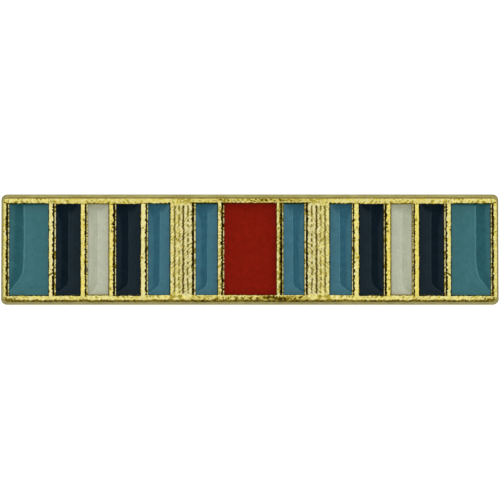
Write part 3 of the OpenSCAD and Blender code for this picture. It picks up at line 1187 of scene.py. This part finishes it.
def stageLight(piece, receivers, name):
    # lights its receivers alone, as a reflection
    piece.visible_camera = False
    piece.visible_shadow = False
    piece.visible_diffuse = False
    group = bpy.data.collections.new(name)
    for receiver in receivers:
        group.objects.link(receiver)
    piece.light_linking.receiver_collection = group


def addCard(name, side, pieces):
    # bright sheet with a dark arch round the camera's place and a bright line along the arch
    distance = studio["cardDistance"] + studio["cardStep"] * side
    reach = distance * tan(radians(studio["cardReach"]))
    mesh = bpy.data.meshes.new(name)
    corners = [(-reach, -reach, 0), (reach, -reach, 0), (reach, reach, 0), (-reach, reach, 0)]
    mesh.from_pydata(corners, [], [[0, 1, 2, 3]])
    card = newObject(name, mesh)
    card.matrix_world = Matrix.Translation(tackFoot + outOfFace * distance) @ pinAxes.to_4x4()

    material, tree, strength = glowMaterial(name)
    coords = addNode(tree, "TexCoord").outputs["Object"]
    parts = addNode(tree, "SeparateXYZ", {"Vector": coords}).outputs
    degree = distance * tan(radians(1))
    across = maths(tree, "MULTIPLY_ADD", parts["X"], side / degree, -studio["darkCentre"])
    upwards = maths(tree, "MULTIPLY", parts["Y"], 1 / degree)
    height = studio["slantReach"]
    lean = height * studio["slant"]
    across = maths(tree, "ADD", across, remap(tree, upwards, -height, height, -lean, lean))
    above = maths(tree, "MAXIMUM", upwards, 0.0)
    squashed = maths(tree, "MULTIPLY", above, studio["archSquash"])
    arch = archRamp(tree, across, squashed, studio["arch"])
    leaning = maths(tree, "MINIMUM", above, studio["lightLeanReach"])
    leaning = maths(tree, "MULTIPLY_ADD", leaning, studio["lightLean"], across)
    squashed = maths(tree, "MULTIPLY", above, studio["lightSquash"])
    level = maths(tree, "ADD", arch, archRamp(tree, leaning, squashed, studio["light"]))
    low = remap(tree, upwards, *studio["cardLow"], studio["cardLowLevel"], 1)
    level = maths(tree, "MULTIPLY", maths(tree, "MULTIPLY", level, low), studio["cardGlow"])
    tree.links.new(level, strength)
    mesh.materials.append(material)
    stageLight(card, pieces, name + "_on")


def addDome(pieces):
    # bright in front of the face and dim to its sides
    segments, rings = studio["domeParts"]
    bpy.ops.mesh.primitive_uv_sphere_add(segments=segments, ring_count=rings, radius=studio["domeRadius"])
    dome = bpy.context.object
    dome.name = "metal_dome"
    dome.matrix_world = Matrix.Translation(tackFoot) @ pinAxes.to_4x4()
    material, tree, strength = glowMaterial("metal_dome")
    where = addNode(tree, "TexCoord").outputs["Object"]
    unit = addNode(tree, "VectorMath", {0: where}, operation="NORMALIZE").outputs["Vector"]
    parts = addNode(tree, "SeparateXYZ", {"Vector": unit}).outputs
    facing = maths(tree, "MULTIPLY_ADD", parts["Y"], studio["domeLift"], parts["Z"])
    level = ramp(tree, remap(tree, facing, *studio["domeReach"]), studio["dome"])
    tree.links.new(maths(tree, "MULTIPLY", level, studio["domeGlow"]), strength)
    dome.data.materials.append(material)
    stageLight(dome, pieces, "metal_dome_on")


def addTable():
    # a round pale table that sweeps up into its own backdrop
    middle, flat, curve, top, n = 0.05, 0.6, 0.3, 1.5, 96
    profile = [(middle, 0.0), (flat, 0.0)]
    profile += [(flat + curve * sin(radians(a)), curve * (1 - cos(radians(a)))) for a in range(10, 91, 10)]
    profile.append((flat + curve, top))
    turn = np.linspace(0, 2 * pi, n, endpoint=False)
    points = [(radius * cos(a), radius * sin(a), height) for radius, height in profile for a in turn]
    faces = [list(range(n))]
    for ring in range(len(profile) - 1):
        first = ring * n + np.arange(n)
        joinLoops(first, first + n, faces)
    mesh = bpy.data.meshes.new("table")
    mesh.from_pydata(points, [], faces)
    mesh.shade_smooth()
    table = newObject("table", mesh)
    material, tree, shader = newMaterial("pale_table")
    setInputs(tree, shader, {"Base Color": (0.3, 0.3, 0.3, 1), "Roughness": 0.9, "Specular IOR Level": 0.0,
                             "Emission Color": (1, 1, 1, 1), "Emission Strength": 0.93})
    mesh.materials.append(material)
    table.visible_glossy = False
    table.visible_diffuse = False
    table.visible_shadow = False


def addWorld():
    world = bpy.data.worlds.new("studio")
    world.use_nodes = True
    tree = world.node_tree
    setInputs(tree, tree.nodes["Background"], {"Color": (1, 1, 1, 1), "Strength": 1.12})
    world.cycles_visibility.glossy = False
    scene.world = world


def addKey():
    data = bpy.data.lights.new("key", "AREA")
    data.shape = "RECTANGLE"
    data.size, data.size_y = 0.16, 0.1
    data.energy = 0.06
    key = newObject("key", data)
    key.location = (0, -0.1, 0.2)
    middle = Vector((0, 0, 0.002))
    aim(key, (middle - key.location).normalized())


addCamera()
addCard("card_left", 1, [p for p, node in zip(fills, enamelNodes) if enamelBoxes[node][1][0] < 0])
addCard("card_right", -1, [p for p, node in zip(fills, enamelNodes) if enamelBoxes[node][0][0] > 0])
addDome([barPiece, tackPiece])
addTable()
addWorld()
addKey()
scene.view_settings.view_transform = "Standard"
scene.view_settings.look = "None"
print("studio made")
